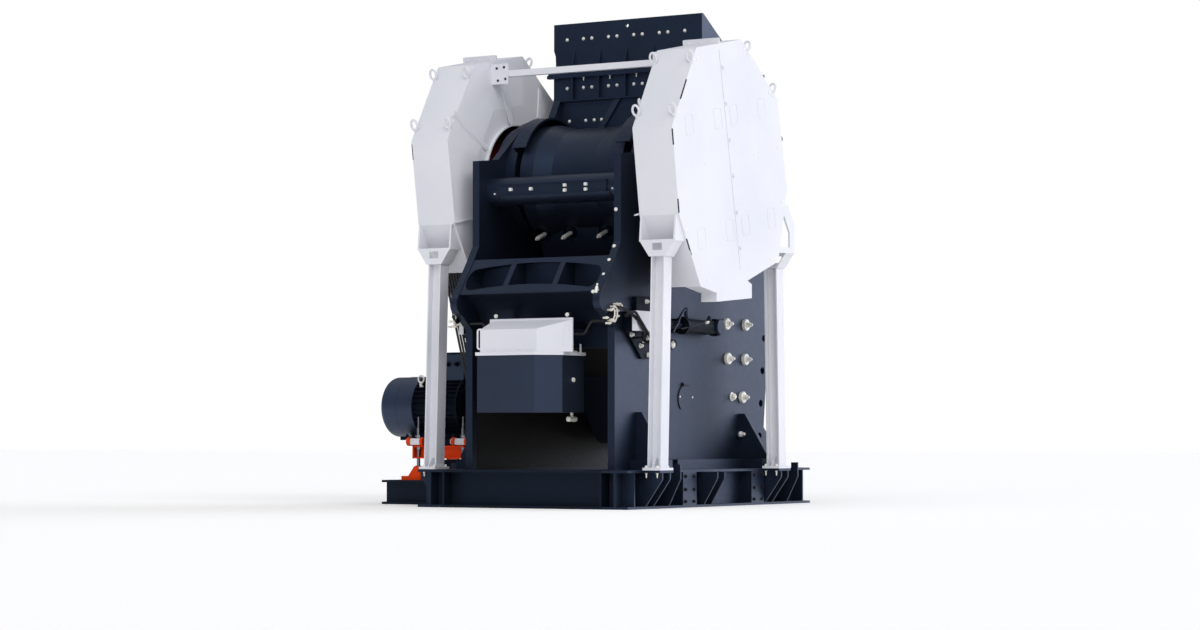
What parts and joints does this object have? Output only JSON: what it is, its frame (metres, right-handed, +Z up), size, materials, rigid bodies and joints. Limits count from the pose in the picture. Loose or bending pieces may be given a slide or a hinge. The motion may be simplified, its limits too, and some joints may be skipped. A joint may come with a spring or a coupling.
{
  "type": "jaw crusher",
  "caption": "Single-toggle jaw crusher on its base frame: swing jaw on an eccentric shaft between two guarded flywheels, feed hopper, service box and belt-drive motor.",
  "frame": {"origin": "centre of the base frame's anchor holes, on the floor", "axes": "+Z up, +Y toward the feed end and fixed jaw, +X the right side away from the motor"},
  "size_m": [4.117, 3.953, 5.117],
  "materials": {
    "frame_paint": "satin",
    "guard_paint": "satin",
    "flywheel_paint": "satin",
    "motor_paint": "satin",
    "cowl_grey": "satin",
    "wear_steel": "matte",
    "shaft_steel": "brushed",
    "belt_rubber": "matte"
  },
  "bodies": {
    "frame": {"base_side_beam_left": "frame_paint", "base_side_beam_right": "frame_paint", "base_rear_beam": "frame_paint", "base_front_beam": "frame_paint", "base_inner_beams": "frame_paint", "motor_base_frame": "frame_paint", "side_plate_left": "frame_paint", "side_plate_right": "frame_paint", "side_foot_left": "frame_paint", "side_foot_right": "frame_paint", "front_wall": "frame_paint", "rear_casting": "frame_paint", "toggle_beam": "frame_paint", "cross_tube": "frame_paint", "bearing_housing_left": "frame_paint", "bearing_housing_right": "frame_paint", "hopper_lower": "frame_paint", "hopper_upper": "frame_paint", "fixed_jaw_plate": "wear_steel", "cheek_plate_left": "wear_steel", "cheek_plate_right": "wear_steel", "guard_shell_left": "guard_paint", "guard_shell_right": "guard_paint", "guard_inner_left": "guard_paint", "guard_inner_right": "guard_paint", "guard_leg_left_rear": "guard_paint", "guard_leg_left_front": "guard_paint", "guard_leg_right_rear": "guard_paint", "guard_leg_right_front": "guard_paint", "guard_cross_beam": "guard_paint", "service_box_body": "frame_paint", "service_box_lid": "guard_paint", "setting_cylinder_left": "frame_paint", "setting_cylinder_right": "frame_paint", "motor_body": "cowl_grey", "motor_fan_cowl": "cowl_grey", "motor_terminal_box": "cowl_grey", "motor_pulley": "wear_steel", "drive_belts": "belt_rubber", "motor_tilt_base": "motor_paint", "hydraulic_hoses": "belt_rubber"},
    "flywheel_shaft": {"eccentric_shaft": "shaft_steel", "flywheel_left": "flywheel_paint", "flywheel_right": "flywheel_paint"},
    "swing_jaw_set": {"swing_jaw": "frame_paint", "moving_jaw_plate": "wear_steel", "toggle_plate": "frame_paint"}
  },
  "joints": [
    {"name": "flywheel_turn", "type": "hinge", "parent": "frame", "child": "flywheel_shaft", "pos_m": [0, -0.41, 3.38], "axis": [1, 0, 0], "continuous": true},
    {"name": "jaw_ride", "type": "hinge", "parent": "flywheel_shaft", "child": "swing_jaw_set", "pos_m": [0, -0.41, 3.36], "axis": [1, 0, 0], "continuous": true}
  ],
  "couplings": [
    {"joint": "jaw_ride", "follows": "flywheel_turn", "ratio": -1}
  ]
}
